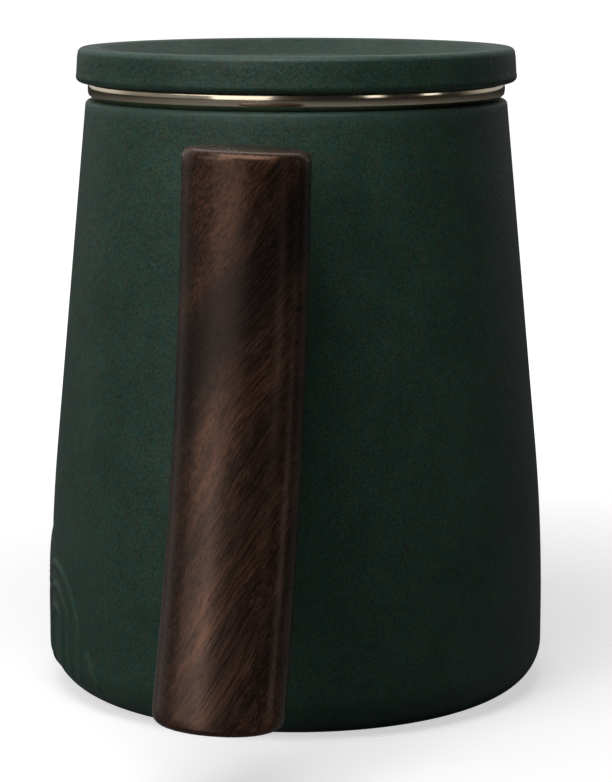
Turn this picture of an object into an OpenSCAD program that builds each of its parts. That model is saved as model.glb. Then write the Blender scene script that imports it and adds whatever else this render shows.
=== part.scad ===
// Tea mug with a wooden handle, a drop-in infuser and a lift-off lid.
// Origin: centre of the base, on the surface that the mug stands on. +Z up, handle towards +X.

/* [Cup] */
// Height of the cup to its lip
cup_h = 111; // [106:1:116]
// Outer radius at the lip
mouth_r = 39.4; // [39:0.1:40]
// Outer radius at the widest point, low on the side
belly_r = 47.1; // [46.4:0.1:48]
// Height of the widest point
belly_z = 14; // [12:1:17]
// Radius of the curve that joins the widest point to the straight side
side_curve_r = 338; // [300:2:350]
// Thickness of the wall
wall = 3.8; // [3.4:0.1:4]
// Thickness of the floor
floor_t = 6; // [5:0.5:8]
// Radius of the rounded heel at the foot
heel_r = 8; // [6:0.5:9]
// Radius of the rounding inside, between wall and floor
inner_corner_r = 11; // [6:1:14]
// Radius of the rounded edges of the lip
lip_r = 0.9; // [0.5:0.1:1.1]
// Inner radius of the flat ring that the cup stands on
foot_in_r = 34; // [28:1:36]
// Depth of the hollow inside that ring
foot_hollow = 1.2; // [0.8:0.1:2]

/* [Relief] */
// How far the wave ridges stand out of the side
ridge_h = 0.5; // [0.3:0.1:0.8]
// Width of one ridge
ridge_w = 1.2; // [0.8:0.1:1.4]
// Distance from one ridge of a wave to the next
ridge_pitch = 4.1; // [3.8:0.1:4.3]
// Ridges in one wave
ridge_count = 3; // [1:1:3]
// Radius of each wave
wave_r = 12.7; // [12:0.1:13.5]
// Height of the middle wave's centre
wave_z = 17; // [15:1:18]
// Height of the centre of the wave on either side of it
side_wave_z = 12.5; // [10:0.5:14]
// Turn from the middle wave to the one beside it, in degrees
side_wave_turn = 25; // [23:1:27]
// Height of the centre of the lowest, outer wave
low_wave_z = 3.3; // [2:0.1:5]
// Turn from the middle wave to that one, in degrees
low_wave_turn = 32; // [30:1:34]

/* [Handle] */
// Width of the bar
handle_w = 22; // [20:0.5:24]
// Depth of the bar, from the hand side to the cup side
handle_d = 15; // [14:0.5:16]
// Radius of the curve that the bar follows
handle_curve_r = 210; // [200:2:230]
// Distance of the bar's axis from the cup's axis at its top end
handle_top_x = 55.3; // [54.5:0.1:57]
// Height of the bar's axis at its top end
handle_top_z = 106; // [102:0.5:108]
// Height of the bar's axis at its lower end
handle_bottom_z = 15; // [12:0.5:20]
// Lean of the bar at its top end, in degrees
handle_lean = 4.9; // [4:0.1:5.6]
// Squareness of the bar's section: 2 is an ellipse, and more is squarer
handle_squareness = 2.1; // [2:0.1:3]
// Slant of the cuts at both ends of the bar, in degrees: 0 is level
end_slant = 2; // [0:0.5:4]

/* [Handle fixing] */
// Height of the lug's middle
lug_z = 84; // [82:1:86]
// Width of the lug
lug_w = 14; // [12:0.5:15]
// Height of the lug
lug_h = 28; // [24:1:30]
// How far the lug is let into the wood
let_in = 3; // [2.5:0.1:3.5]
// Space left round the lug in its pocket, for glue
glue_gap = 0.2; // [0.1:0.05:0.3]
// Radius of the rounding where the lug meets the cup
lug_fillet = 3; // [2:0.5:3.5]
// Radius of each dowel
dowel_r = 2; // [1.5:0.1:2.2]
// Length of each dowel
dowel_len = 17; // [15:0.5:17.5]
// Distance between the two dowels
dowel_spacing = 14; // [12:0.5:15]

/* [Infuser] */
// Height of the gold rim above the cup's lip
rim_h = 3.3; // [3:0.1:3.6]
// Outer radius of the gold rim
rim_r = 39; // [38.6:0.1:39.4]
// Outer radius of the collar and of the basket below it
basket_r = 34.9; // [34.6:0.1:34.9]
// Thickness of the sheet that the collar, wall and floor are made of
sheet = 0.5; // [0.4:0.05:0.6]
// Height at which the collar ends and the perforated wall starts
collar_z = 97; // [94:1:100]
// Height at which the wall ends and the floor pan starts
basket_z = 41; // [36:1:48]
// Radius of the rounded edge of the floor pan
pan_corner_r = 2.5; // [2:0.1:3.5]
// Radius of each perforation
hole_r = 1; // [0.6:0.05:1.2]
// Perforations in one row round the wall
wall_columns = 36; // [24:1:40]
// Rows of perforations in the wall
wall_rows = 10; // [6:1:11]
// Rings of perforations round the middle one in the floor
floor_rings = 6; // [3:1:7]

/* [Lid] */
// Outer radius of the lid at its lower edge
lid_r = 41.2; // [40.4:0.1:41.8]
// How much narrower the lid is at its top edge
lid_draw = 0.4; // [0:0.1:0.8]
// Height of the lid's side
lid_h = 6.4; // [5.8:0.1:7]
// Width of the raised edge round the dished top
lid_edge_w = 3.2; // [2.8:0.1:4]
// Depth of the dished top
dish_depth = 3.4; // [2.8:0.1:3.6]
// Slope of the side of the dish, in degrees
dish_slope = 32; // [28:1:45]
// Outer radius of the ring under the lid that centres it in the infuser
lid_ring_r = 34; // [33.6:0.1:34]
// Width of that ring
lid_ring_w = 3.5; // [3:0.1:4.5]
// Height of that ring
lid_ring_h = 5; // [4:0.5:6]

/* [Hidden] */
$fn = 96;
glaze = [0.13, 0.25, 0.21];
walnut = [0.27, 0.17, 0.12];
champagne = [0.80, 0.70, 0.52];
bright_steel = [0.75, 0.76, 0.78];
through = 1; // how far a cutter runs past the face it cuts

// The side is a straight line that leans in from a large arc. Seen from the arc's centre, the lip lies
// at side_reach and side_angle, and the arc ends where the line to the lip touches it, at taper.
side_steps = 5;
side_centre_x = belly_r - side_curve_r;
side_reach = norm([mouth_r - side_centre_x, cup_h - belly_z]);
side_angle = atan2(cup_h - belly_z, mouth_r - side_centre_x);
taper = side_angle - acos(side_curve_r / side_reach);
lip_z = cup_h - lip_r;

// The waves are raised on the side that faces -Y, between two heights.
relief_turn = -90;
relief_low = 3.5;
relief_high = 36;

// The bar's axis is an arc whose centre lies outside and above it.
handle_centre_x = handle_top_x + handle_curve_r * cos(handle_lean);
handle_centre_z = handle_top_z + handle_curve_r * sin(handle_lean);
handle_sides = 40;

// The lug stands square to the bar. Its own axis starts in the middle of the bar: negative is
// towards the cup, lug_root is where it leaves the cup, and pocket_floor is where it ends in the wood.
lug_lean = asin((handle_centre_z - lug_z) / handle_curve_r);
lug_x = handle_centre_x - handle_curve_r * cos(lug_lean);
lug_root = -(lug_x - side_r(lug_z, 0)) / cos(lug_lean);
pocket_floor = let_in - handle_d / 2;

// A little over half of each dowel is in the lug, and its hole in the wood is a little too deep.
dowel_start = pocket_floor - 0.53 * dowel_len;
dowel_end = dowel_start + dowel_len;
dowel_clearance = 0.05;
dowel_end_gap = 0.5;

rim_top = cup_h + rim_h;
lid_top = rim_top + lid_h;
hole_sides = 16;

// Points along an arc from angle a0 to angle a1, in n equal steps
function arc(x, z, r, a0, a1, n) =
    [for (i = [0 : n]) let (a = a0 + (a1 - a0) * i / n) [x + r * cos(a), z + r * sin(a)]];

// Radius of the straight side at height z, moved inwards by inset
function side_r(z, inset) = mouth_r - inset / cos(taper) + (cup_h - z) * tan(taper);

// The side from the widest point up to the end of the curve, moved inwards by inset
function side_curve(inset) = arc(side_centre_x, belly_z, side_curve_r - inset, 0, taper, side_steps);

// The rounded heel, moved inwards by inset
function heel(inset, a0, a1, n) = arc(belly_r - heel_r, heel_r, heel_r - inset, a0, a1, n);

// A closed oval with flattened sides, half_x by half_y
function oval(half_x, half_y, squareness, n) =
    [for (i = [0 : n - 1])
        let (a = 360 * i / n, c = cos(a), s = sin(a))
        [half_x * sign(c) * pow(abs(c), 2 / squareness),
         half_y * sign(s) * pow(abs(s), 2 / squareness)]];

// Outside of the cup, from the hollow under its foot to the rounded lip
module cup_outside() {
    rotate_extrude()
        polygon(concat(
            [[0, foot_hollow], [foot_in_r - foot_hollow, foot_hollow], [foot_in_r, 0]],
            heel(0, -90, 0, 8),
            side_curve(0),
            arc(side_r(lip_z, 0) - lip_r, lip_z, lip_r, 0, 90, 4),
            arc(side_r(lip_z, wall) + lip_r, lip_z, lip_r, 90, 180, 4),
            [[0, lip_z]]));
}

// The space inside the cup, open at the top
module cup_inside() {
    corner_x = belly_r - wall - inner_corner_r;
    corner_z = floor_t + inner_corner_r;
    mouth_in_r = side_r(lip_z, wall);
    rotate_extrude()
        polygon(concat(
            [[0, floor_t]],
            arc(corner_x, corner_z, inner_corner_r, -90, 0, 6),
            [for (p = side_curve(wall)) if (p[1] > corner_z) p],
            [[mouth_in_r, lip_z], [mouth_in_r, cup_h + through], [0, cup_h + through]]));
}

// A skin over the heel and the lower side that stands ridge_h out of them
module relief_skin() {
    under = side_curve(ridge_h);
    intersection() {
        rotate_extrude()
            polygon(concat(
                heel(ridge_h, 0, -60, 4),
                heel(-ridge_h, -60, 0, 4),
                side_curve(-ridge_h),
                [for (i = [side_steps : -1 : 0]) under[i]]));
        translate([0, 0, relief_low]) cylinder(h = relief_high - relief_low, r = 2 * belly_r);
    }
}

// Outline of an arch with its round top centred on the origin and its legs running down
module arch(r) {
    leg = 2 * r;
    circle(r);
    translate([-r, -leg]) square([2 * r, leg]);
}

// Stands an outline upright at height z and runs it outwards from the cup's axis at the given turn
module outwards(turn, z) {
    translate([0, 0, z]) rotate([90, 0, 90 + turn]) linear_extrude(2 * belly_r) children();
}

// One wave: arches one inside the other
module wave(turn, z) {
    outwards(turn, z)
        for (i = [0 : ridge_count - 1])
            difference() {
                arch(wave_r - i * ridge_pitch);
                arch(wave_r - i * ridge_pitch - ridge_w);
            }
}

// What a wave hides of the waves behind it: all inside one more ridge's width of clear surface
module wave_cover(turn, z) {
    outwards(turn, z) arch(wave_r + ridge_pitch - ridge_w);
}

// The wave beside the middle one and the low wave behind it, on the side given by 1 or -1
module outer_waves(side) {
    wave(relief_turn + side * side_wave_turn, side_wave_z);
    difference() {
        wave(relief_turn + side * low_wave_turn, low_wave_z);
        wave_cover(relief_turn + side * side_wave_turn, side_wave_z);
    }
}

// The middle wave in front, with two more behind it on each side
module relief() {
    intersection() {
        relief_skin();
        union() {
            wave(relief_turn, wave_z);
            difference() {
                for (side = [-1, 1]) outer_waves(side);
                wave_cover(relief_turn, wave_z);
            }
        }
    }
}

// Places its children in the middle of the bar beside the lug, with X along the lug's axis
module at_lug() {
    translate([lug_x, 0, lug_z]) rotate([0, -lug_lean, 0]) children();
}

// Upright outline with round ends, made wider all round by grow
module lug_outline(grow) {
    half = (lug_h - lug_w) / 2;
    r = lug_w / 2 + grow;
    for (end = [-1, 1]) translate([0, end * half]) circle(r);
    translate([-r, -half]) square([2 * r, 2 * half]);
}

// Runs an outline along the lug's axis from x0 to x1
module along_lug(x0, x1) {
    at_lug() translate([x0, 0, 0]) rotate([90, 0, 90]) linear_extrude(x1 - x0) children();
}

// Tapered skirt round the lug, grow wide at x0 and running out inside the lug at x1
module lug_skirt(x0, x1, grow) {
    slice = 0.1;
    inside = 0.4;
    hull() {
        along_lug(x0, x0 + slice) lug_outline(grow, $fn = 32);
        along_lug(x1 - slice, x1) lug_outline(-inside, $fn = 32);
    }
}

// The lug, with two skirts that round off its root and start sunk in the wall
module lug() {
    sunk = 1.6;
    root = lug_root - sunk;
    along_lug(lug_root - wall, pocket_floor) lug_outline(0);
    lug_skirt(root, root + 0.6 * lug_fillet + sunk, lug_fillet);
    lug_skirt(root, root + 1.1 * lug_fillet + sunk, 0.55 * lug_fillet);
}

// Both dowel holes, from x0 to x1 along the lug's axis
module dowel_holes(x0, x1) {
    at_lug() for (side = [-1, 1]) translate([x0, 0, side * dowel_spacing / 2]) rotate([0, 90, 0])
        cylinder(h = x1 - x0, r = dowel_r + dowel_clearance);
}

// Glazed stoneware, with the lug and the waves in one piece with it
module cup_body() {
    color(glaze) difference() {
        union() {
            cup_outside();
            relief();
            lug();
        }
        cup_inside();
        dowel_holes(dowel_start, pocket_floor + through);
    }
}

// The bar along its curve, with some to spare at both ends
module handle_blank() {
    spare = 6;
    first_lean = asin((handle_centre_z - handle_top_z - spare) / handle_curve_r);
    last_lean = asin((handle_centre_z - handle_bottom_z + spare) / handle_curve_r);
    translate([handle_centre_x, 0, handle_centre_z]) rotate([90, 0, 0])
        rotate([0, 0, 180 + first_lean])
        rotate_extrude(angle = last_lean - first_lean)
        translate([handle_curve_r, 0])
        polygon(oval(handle_d / 2, handle_w / 2, handle_squareness, handle_sides));
}

// All that lies between the cuts at the ends of the bar
module between_cuts() {
    reach = handle_curve_r;
    rotate([-end_slant, 0, 0])
        translate([0, -reach / 2, handle_bottom_z])
        cube([reach, reach, handle_top_z - handle_bottom_z]);
}

// Curved wooden bar with a pocket for the lug
module handle() {
    color(walnut) difference() {
        intersection() {
            handle_blank();
            between_cuts();
        }
        along_lug(-handle_d, pocket_floor) lug_outline(glue_gap);
        dowel_holes(pocket_floor - through, dowel_end + dowel_end_gap);
    }
}

// One dowel, side = 1 above and -1 below: chamfered ends and shallow grooves that hold the glue
module dowel(side) {
    chamfer = 0.4;
    groove = 0.25;
    grooves = 5;
    pitch = dowel_len / (grooves + 1);
    color(bright_steel) at_lug() translate([dowel_start, 0, side * dowel_spacing / 2])
        rotate([0, 90, 0]) rotate_extrude()
        polygon(concat(
            [[0, 0], [dowel_r - chamfer, 0], [dowel_r, chamfer]],
            [for (i = [1 : grooves]) for (p = [[0, -groove], [-groove, 0], [0, groove]])
                [dowel_r + p[0], i * pitch + p[1]]],
            [[dowel_r, dowel_len - chamfer], [dowel_r - chamfer, dowel_len], [0, dowel_len]]));
}

module upper_dowel() dowel(1);

module lower_dowel() dowel(-1);

// Band that shows between cup and lid, slightly crowned, above a slanting underside that leaves it
// clear of the lip. Its land stands on the lip, and a sheet collar hangs inside the cup.
module infuser_rim() {
    under_h = 0.8;
    bevel = 0.3;
    crown = 0.2;
    land_w = 2.8;
    top_edge_r = 1;
    inner_r = basket_r - sheet;
    land_r = basket_r + land_w;
    bevel_r = rim_r - crown - bevel;
    half = (rim_h - under_h) / 2 - bevel;
    crown_r = (half * half + crown * crown) / (2 * crown);
    crown_angle = asin(half / crown_r);
    color(champagne) rotate_extrude()
        polygon(concat(
            [[inner_r, collar_z], [basket_r, collar_z], [basket_r, cup_h], [land_r, cup_h],
             [bevel_r, cup_h + under_h]],
            arc(rim_r - crown_r, rim_top - bevel - half, crown_r, -crown_angle, crown_angle, 6),
            [[bevel_r, rim_top]],
            arc(inner_r + top_edge_r, rim_top - top_edge_r, top_edge_r, 90, 180, 4)));
}

// A round hole through sheet, drilled along X
module perforation() {
    reach = 3;
    rotate([0, 90, 0]) translate([0, 0, -reach]) cylinder(h = 2 * reach, r = hole_r, $fn = hole_sides);
}

// Sheet tube with staggered rows of perforations
module infuser_wall() {
    wall_h = collar_z - basket_z;
    row_pitch = wall_h / (wall_rows + 1);
    column_turn = 360 / wall_columns;
    color(champagne) difference() {
        translate([0, 0, basket_z]) difference() {
            cylinder(h = wall_h, r = basket_r);
            translate([0, 0, -through]) cylinder(h = wall_h + 2 * through, r = basket_r - sheet);
        }
        for (row = [1 : wall_rows]) for (column = [0 : wall_columns - 1])
            rotate([0, 0, (column + (row % 2) / 2) * column_turn])
                translate([basket_r, 0, basket_z + row * row_pitch]) perforation();
    }
}

// Flat perforated disc with a rounded edge that turns up to the wall
module infuser_floor() {
    corner_x = basket_r - pan_corner_r;
    pan_z = basket_z - pan_corner_r;
    ring_pitch = (corner_x - 2) / (floor_rings + 0.5);
    color(champagne) difference() {
        rotate_extrude()
            polygon(concat(
                [[0, pan_z]],
                arc(corner_x, basket_z, pan_corner_r, -90, 0, 6),
                arc(corner_x, basket_z, pan_corner_r - sheet, 0, -90, 6),
                [[0, pan_z + sheet]]));
        translate([0, 0, pan_z]) rotate([0, 90, 0]) perforation();
        for (ring = [1 : floor_rings]) for (i = [0 : 6 * ring - 1])
            rotate([0, 0, 60 * i / ring]) translate([ring * ring_pitch, 0, pan_z])
                rotate([0, 90, 0]) perforation();
    }
}

// Stoneware lid: a raised edge round a dished top, and a ring underneath that drops into the collar
module lid() {
    edge_r = 1.1;
    top_r = lid_r - lid_draw;
    dish_r = top_r - lid_edge_w;
    dish_z = lid_top - dish_depth;
    dish_edge_r = 2;
    dish_foot_r = 5;
    both_r = dish_edge_r + dish_foot_r;
    sloping_h = dish_depth - both_r * (1 - cos(dish_slope));
    dish_floor_r = dish_r - both_r * sin(dish_slope) - sloping_h / tan(dish_slope);
    ring_low = rim_top - lid_ring_h;
    ring_in_r = lid_ring_r - lid_ring_w;
    ring_edge_r = 0.7;
    under_step = 0.8;
    under_z = rim_top - under_step;
    color(glaze) rotate_extrude()
        polygon(concat(
            [[0, under_z], [ring_in_r - under_step, under_z], [ring_in_r, under_z - under_step]],
            arc(ring_in_r + ring_edge_r, ring_low + ring_edge_r, ring_edge_r, 180, 270, 3),
            arc(lid_ring_r - ring_edge_r, ring_low + ring_edge_r, ring_edge_r, 270, 360, 3),
            [[lid_ring_r, rim_top]],
            arc(lid_r - edge_r, rim_top + edge_r, edge_r, -90, 0, 4),
            arc(top_r - edge_r, lid_top - edge_r, edge_r, 0, 90, 4),
            arc(dish_r, lid_top - dish_edge_r, dish_edge_r, 90, 90 + dish_slope, 4),
            arc(dish_floor_r, dish_z + dish_foot_r, dish_foot_r, dish_slope - 90, -90, 4),
            [[0, dish_z]]));
}

cup_body();
handle();
upper_dowel();
lower_dowel();
infuser_rim();
infuser_wall();
infuser_floor();
lid();
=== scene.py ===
import math

import bmesh
import bpy
from mathutils import Matrix, Vector


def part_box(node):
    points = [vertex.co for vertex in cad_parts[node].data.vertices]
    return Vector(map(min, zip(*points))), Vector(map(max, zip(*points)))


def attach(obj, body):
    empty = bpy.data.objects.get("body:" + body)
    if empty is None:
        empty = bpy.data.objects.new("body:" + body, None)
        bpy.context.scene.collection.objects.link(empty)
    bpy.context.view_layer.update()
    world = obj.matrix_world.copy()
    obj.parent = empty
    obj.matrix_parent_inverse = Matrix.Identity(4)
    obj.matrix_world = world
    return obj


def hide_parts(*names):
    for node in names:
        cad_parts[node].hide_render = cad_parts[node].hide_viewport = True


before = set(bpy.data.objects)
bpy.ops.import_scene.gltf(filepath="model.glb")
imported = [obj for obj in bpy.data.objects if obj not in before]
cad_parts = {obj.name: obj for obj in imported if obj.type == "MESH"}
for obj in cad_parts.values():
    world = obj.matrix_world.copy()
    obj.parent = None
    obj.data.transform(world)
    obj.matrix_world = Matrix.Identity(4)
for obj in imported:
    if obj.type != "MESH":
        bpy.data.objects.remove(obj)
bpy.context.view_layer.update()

# ------------------------------------------------------------------------------------------
# Cup: slip-cast stoneware under a matte deep green glaze, bare clay on the ring it stands on.
# The waves near its foot are raised in the mould. The lug that carries the bar is cast with
# the cup, rounded into the wall and drilled for two dowels.
# ------------------------------------------------------------------------------------------
mm = 0.001
cup_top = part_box("cup_body")[1].z
mouth_r = 39.4 * mm
belly_r = 47.1 * mm
belly_z = 14 * mm
side_curve_r = 338 * mm
wall = 3.8 * mm
floor_top = 6 * mm
heel_r = 8 * mm
inner_corner_r = 11 * mm
lip_r = 0.9 * mm
foot_in_r = 34 * mm
foot_hollow = 1.2 * mm
bare_clay_top = 0.9 * mm
lip_thinness = 0.8
lug_thinness = 0.4

# The side leans in along a straight line that leaves a large arc at the angle taper.
side_centre_r = belly_r - side_curve_r
reach = math.hypot(mouth_r - side_centre_r, cup_top - belly_z)
taper = math.atan2(cup_top - belly_z, mouth_r - side_centre_r) - math.acos(side_curve_r / reach)
curve_top = belly_z + side_curve_r * math.sin(taper)
level_wall = wall / math.cos(taper)


def side_r(z):
    """Outer radius of the cup at height z, above the heel."""
    if z < belly_z:
        return belly_r
    if z < curve_top:
        return side_centre_r + math.sqrt(side_curve_r ** 2 - (z - belly_z) ** 2)
    return mouth_r + (cup_top - z) * math.tan(taper)


def arc(r, z, radius, start, end, steps):
    """Points (radius, height) along an arc round (r, z), with the angles in degrees."""
    turns = [math.radians(start + (end - start) * i / steps) for i in range(steps + 1)]
    return [(r + radius * math.cos(t), z + radius * math.sin(t)) for t in turns]


def smoothstep(low, high, value):
    """0 below low, 1 above high, and smooth between."""
    t = min(max((value - low) / (high - low), 0), 1)
    return t * t * (3 - 2 * t)


def between(start, end, steps):
    """Numbers from start up to, and without, end."""
    return [start + (end - start) * i / steps for i in range(steps)]


def rows(points, edge=0, gloss=0, clay=0):
    """Rows of the cup's outline: radius, height, thin glaze, smoother glaze and bare clay."""
    return [(r, z, edge, gloss, clay) for r, z in points]


# Outline of the cup from the middle of its base, round the lip, to the middle of its floor
wave_low, wave_high = 3 * mm, 36 * mm
wave_row = 0.42 * mm
lug_patch_low, lug_patch_high = 57 * mm, 103 * mm
patch_row = 2 * mm
lip_z = cup_top - lip_r
lip_fade = 2 * mm
heel_centre = belly_r - heel_r
under = [(r, foot_hollow) for r in (0, 20 * mm, foot_in_r - 2 * mm, foot_in_r - 1.2 * mm)]
ring = [(foot_in_r - 0.3 * mm, 0.25 * mm), (foot_in_r, 0), (foot_in_r + 2 * mm, 0)]
heel = arc(heel_centre, heel_r, heel_r, -90, -math.degrees(math.asin(1 - wave_low / heel_r)), 12)
outline = rows(under) + rows(ring, clay=1)
for r, z in heel:
    outline += rows([(r, z)], clay=smoothstep(bare_clay_top, 0.5 * bare_clay_top, z))
for z in between(wave_low, wave_high, round((wave_high - wave_low) / wave_row))[1:]:
    r = heel_centre + math.sqrt(heel_r ** 2 - (heel_r - z) ** 2) if z < heel_r else side_r(z)
    outline += rows([(r, z)])
outline += rows([(side_r(z), z) for z in between(wave_high, lug_patch_low, 9)])
patch_first = len(outline)
patch_rows = round((lug_patch_high - lug_patch_low) / patch_row)
outline += rows([(side_r(z), z) for z in between(lug_patch_low, lug_patch_high, patch_rows)])
patch_last = len(outline)
for z in between(lug_patch_high, lip_z - lip_fade, 4) + [lip_z - lip_fade, lip_z - 0.8 * mm]:
    outline += rows([(side_r(z), z)], edge=0.5 * smoothstep(lip_z - lip_fade, lip_z, z))
outline += rows(arc(side_r(lip_z) - lip_r, lip_z, lip_r, 0, 90, 6), edge=lip_thinness)
inner_lip_r = side_r(lip_z) - level_wall
outline += rows(arc(inner_lip_r + lip_r, lip_z, lip_r, 90, 180, 6), edge=lip_thinness, gloss=0.5)
inner_corner = belly_r - wall - inner_corner_r
corner_z = floor_top + inner_corner_r
inside = [(side_r(z) - level_wall, z) for z in between(lip_z - 1.5 * mm, corner_z + 2 * mm, 24)]
inside += arc(inner_corner, corner_z, inner_corner_r, 0, -90, 12)
inside += [(r, floor_top) for r in (24 * mm, 14 * mm, 6 * mm, 0)]
outline += rows(inside, gloss=1)

# Columns are close together over the waves, which face -Y, and 2 degrees apart elsewhere.
wave_half_turn = 50
fine_columns = 200
coarse_step = 2
patch_half_turn = 18
wave_turn = -90
first_coarse = wave_turn + wave_half_turn
coarse_turn = 360 - 2 * wave_half_turn
turns = between(wave_turn - wave_half_turn, first_coarse, fine_columns)
turns += between(first_coarse, first_coarse + coarse_turn, coarse_turn // coarse_step)
patch_left = turns.index(-patch_half_turn)
patch_right = turns.index(patch_half_turn)

# The waves: arched ridges, one inside the other, where the glaze runs thin
ridge_h = 0.5 * mm
ridge_w = 1.2 * mm
ridge_flank = 0.8 * ridge_w
ridge_pitch = 4.1 * mm
ridge_count = 3
ridge_thinness = 0.38
wave_r = 12.7 * mm
wave_z, side_wave_z, low_wave_z = 17 * mm, 12.5 * mm, 3.3 * mm
side_wave_turn, low_wave_turn = 25, 32
wave_fade = 3 * mm
clear_r = wave_r + ridge_pitch - ridge_w


def from_wave(x, y, z, turn, centre_z):
    """Distance from the middle of a wave that faces the given turn, its legs running down."""
    across = x * math.sin(math.radians(turn)) - y * math.cos(math.radians(turn))
    up = z - centre_z
    return math.hypot(across, up) if up > 0 else abs(across)


def ridges(distance):
    """Height, from 0 to 1, of a wave's arched ridges, one inside the other."""
    for i in range(ridge_count):
        middle = wave_r - i * ridge_pitch - ridge_w / 2
        off = abs(distance - middle) / ridge_flank
        if off < 1:
            return 0.5 + 0.5 * math.cos(math.pi * off)
    return 0


def wave_height(x, y, z):
    """Height of the raised waves, from 0 to 1: one in front, with two behind it on each side."""
    middle = from_wave(x, y, z, wave_turn, wave_z)
    height = ridges(middle)
    past_middle = smoothstep(clear_r - ridge_w, clear_r, middle)
    for side in (-1, 1):
        beside = from_wave(x, y, z, wave_turn + side * side_wave_turn, side_wave_z)
        low = from_wave(x, y, z, wave_turn + side * low_wave_turn, low_wave_z)
        past_beside = smoothstep(clear_r - ridge_w, clear_r, beside)
        height = max(height, past_middle * ridges(beside), past_middle * past_beside * ridges(low))
    return height * smoothstep(wave_low, wave_low + wave_fade, z)


cup = bmesh.new()
edge_layer = cup.verts.layers.float.new("edge")
gloss_layer = cup.verts.layers.float.new("gloss")
clay_layer = cup.verts.layers.float.new("clay")


def cup_vert(place, edge=0, gloss=0, clay=0):
    """Adds a point of the cup with its three marks."""
    vert = cup.verts.new(place)
    vert[edge_layer] = edge
    vert[gloss_layer] = gloss
    vert[clay_layer] = clay
    return vert


def bridge(mesh, lower, upper, closed=True):
    """Faces between two rings of the same length, or of which one is a single point."""
    count = max(len(lower), len(upper))
    for i in range(count if closed else count - 1):
        k = (i + 1) % count
        corners = [lower[i % len(lower)], lower[k % len(lower)]]
        corners += [upper[k % len(upper)], upper[i % len(upper)]]
        mesh.faces.new(dict.fromkeys(corners)).smooth = True


cup_rows = []
for i, (r, z, edge, gloss, clay) in enumerate(outline):
    if r == 0:
        cup_rows.append([cup_vert((0, 0, z), edge, gloss, clay)])
        continue
    before, after = outline[i - 1], outline[i + 1]
    normal = Vector((after[1] - before[1], before[0] - after[0])).normalized()
    outside = i < patch_first and wave_low < z < wave_high + wave_row
    row = []
    for j, turn in enumerate(turns):
        a = math.radians(turn)
        if patch_first < i < patch_last and patch_left < j < patch_right:
            row.append(None)
            continue
        raised = wave_height(r * math.cos(a), r * math.sin(a), z) if outside and j <= fine_columns else 0
        r1 = r + normal.x * raised * ridge_h
        place = (r1 * math.cos(a), r1 * math.sin(a), z + normal.y * raised * ridge_h)
        row.append(cup_vert(place, max(edge, ridge_thinness * raised), gloss, clay))
    cup_rows.append(row)
for i in range(len(cup_rows) - 1):
    lower, upper = cup_rows[i], cup_rows[i + 1]
    if patch_first <= i < patch_last:
        past_patch = len(turns) - patch_right + patch_left + 1
        order = [(patch_right + k) % len(turns) for k in range(past_patch)]
        bridge(cup, [lower[j] for j in order], [upper[j] for j in order], closed=False)
    else:
        bridge(cup, lower, upper)

# The lug stands square to the bar, in its own frame: X along its axis, Z up the bar.
bar_curve_r = 210 * mm
bar_top = Vector((55.3 * mm, 0, 106 * mm))
bar_lean = math.radians(4.9)
bar_centre = bar_top + bar_curve_r * Vector((math.cos(bar_lean), 0, math.sin(bar_lean)))
bar_depth = 15 * mm
lug_z = 84 * mm
lug_w, lug_h = 14 * mm, 28 * mm
lug_fillet = 3.2 * mm
lug_edge_r = 0.4 * mm
lug_end_row = 2.5 * mm
let_in = 3 * mm
dowel_spacing = (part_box("upper_dowel")[0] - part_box("lower_dowel")[0]).length
dowel_hole_r = 2.05 * mm
hole_sides = 28
hole_in_lug = 9.2 * mm
lug_lean = math.asin((bar_centre.z - lug_z) / bar_curve_r)
lug_origin = Vector((bar_centre.x - bar_curve_r * math.cos(lug_lean), 0, lug_z))
lug_frame = Matrix.Translation(lug_origin) @ Matrix.Rotation(-lug_lean, 4, "Y")
lug_spine = (lug_h - lug_w) / 2
pocket_floor = let_in - bar_depth / 2


def on_wall(y, up):
    """The point on the cup's side that lies at (y, up) as seen along the lug's axis."""
    x = 0
    for _ in range(12):
        place = lug_frame @ Vector((x, y, up))
        x += math.sqrt(side_r(place.z) ** 2 - y * y) - place.x
    return lug_frame @ Vector((x, y, up))


def stadium(direction, grow):
    """Where a ray from the lug's middle meets its outline, grown all round, and the way out there."""
    r = lug_w / 2 + grow
    c, s = math.cos(direction), math.sin(direction)
    if abs(s) * r <= lug_spine * abs(c):
        return Vector((r * math.copysign(1, c), s * r / abs(c))), Vector((math.copysign(1, c), 0))
    reach = lug_spine * abs(s) + math.sqrt(r * r - (lug_spine * c) ** 2)
    point = Vector((c * reach, s * reach))
    return point, Vector((point.x, point.y - math.copysign(lug_spine, s))).normalized()


low_row, high_row = cup_rows[patch_first], cup_rows[patch_last]
border = [low_row[j] for j in range(patch_left, patch_right)]
border += [cup_rows[i][patch_right] for i in range(patch_first, patch_last)]
border += [high_row[j] for j in range(patch_right, patch_left, -1)]
border += [cup_rows[i][patch_left] for i in range(patch_last, patch_first, -1)]
to_lug = lug_frame.inverted()
seen = [Vector((to_lug @ v.co).yz) for v in border]
ways = [math.atan2(p.y, p.x) for p in seen]
last = border
patch_rings = 7
for i in range(1, patch_rings + 1):
    t = i / patch_rings
    flat = [p.lerp(stadium(way, lug_fillet)[0], t) for p, way in zip(seen, ways)]
    ring = [cup_vert(on_wall(p.x, p.y)) for p in flat]
    bridge(cup, last, ring)
    last = ring
fillet_steps = 7
outer = [stadium(way, lug_fillet) for way in ways]
foot = [on_wall(p.x, p.y) for p, out in outer]
corner = [on_wall(*(p - out * lug_fillet)) for p, out in outer]
along = (lug_frame.to_3x3() @ Vector((1, 0, 0))).normalized()
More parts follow.
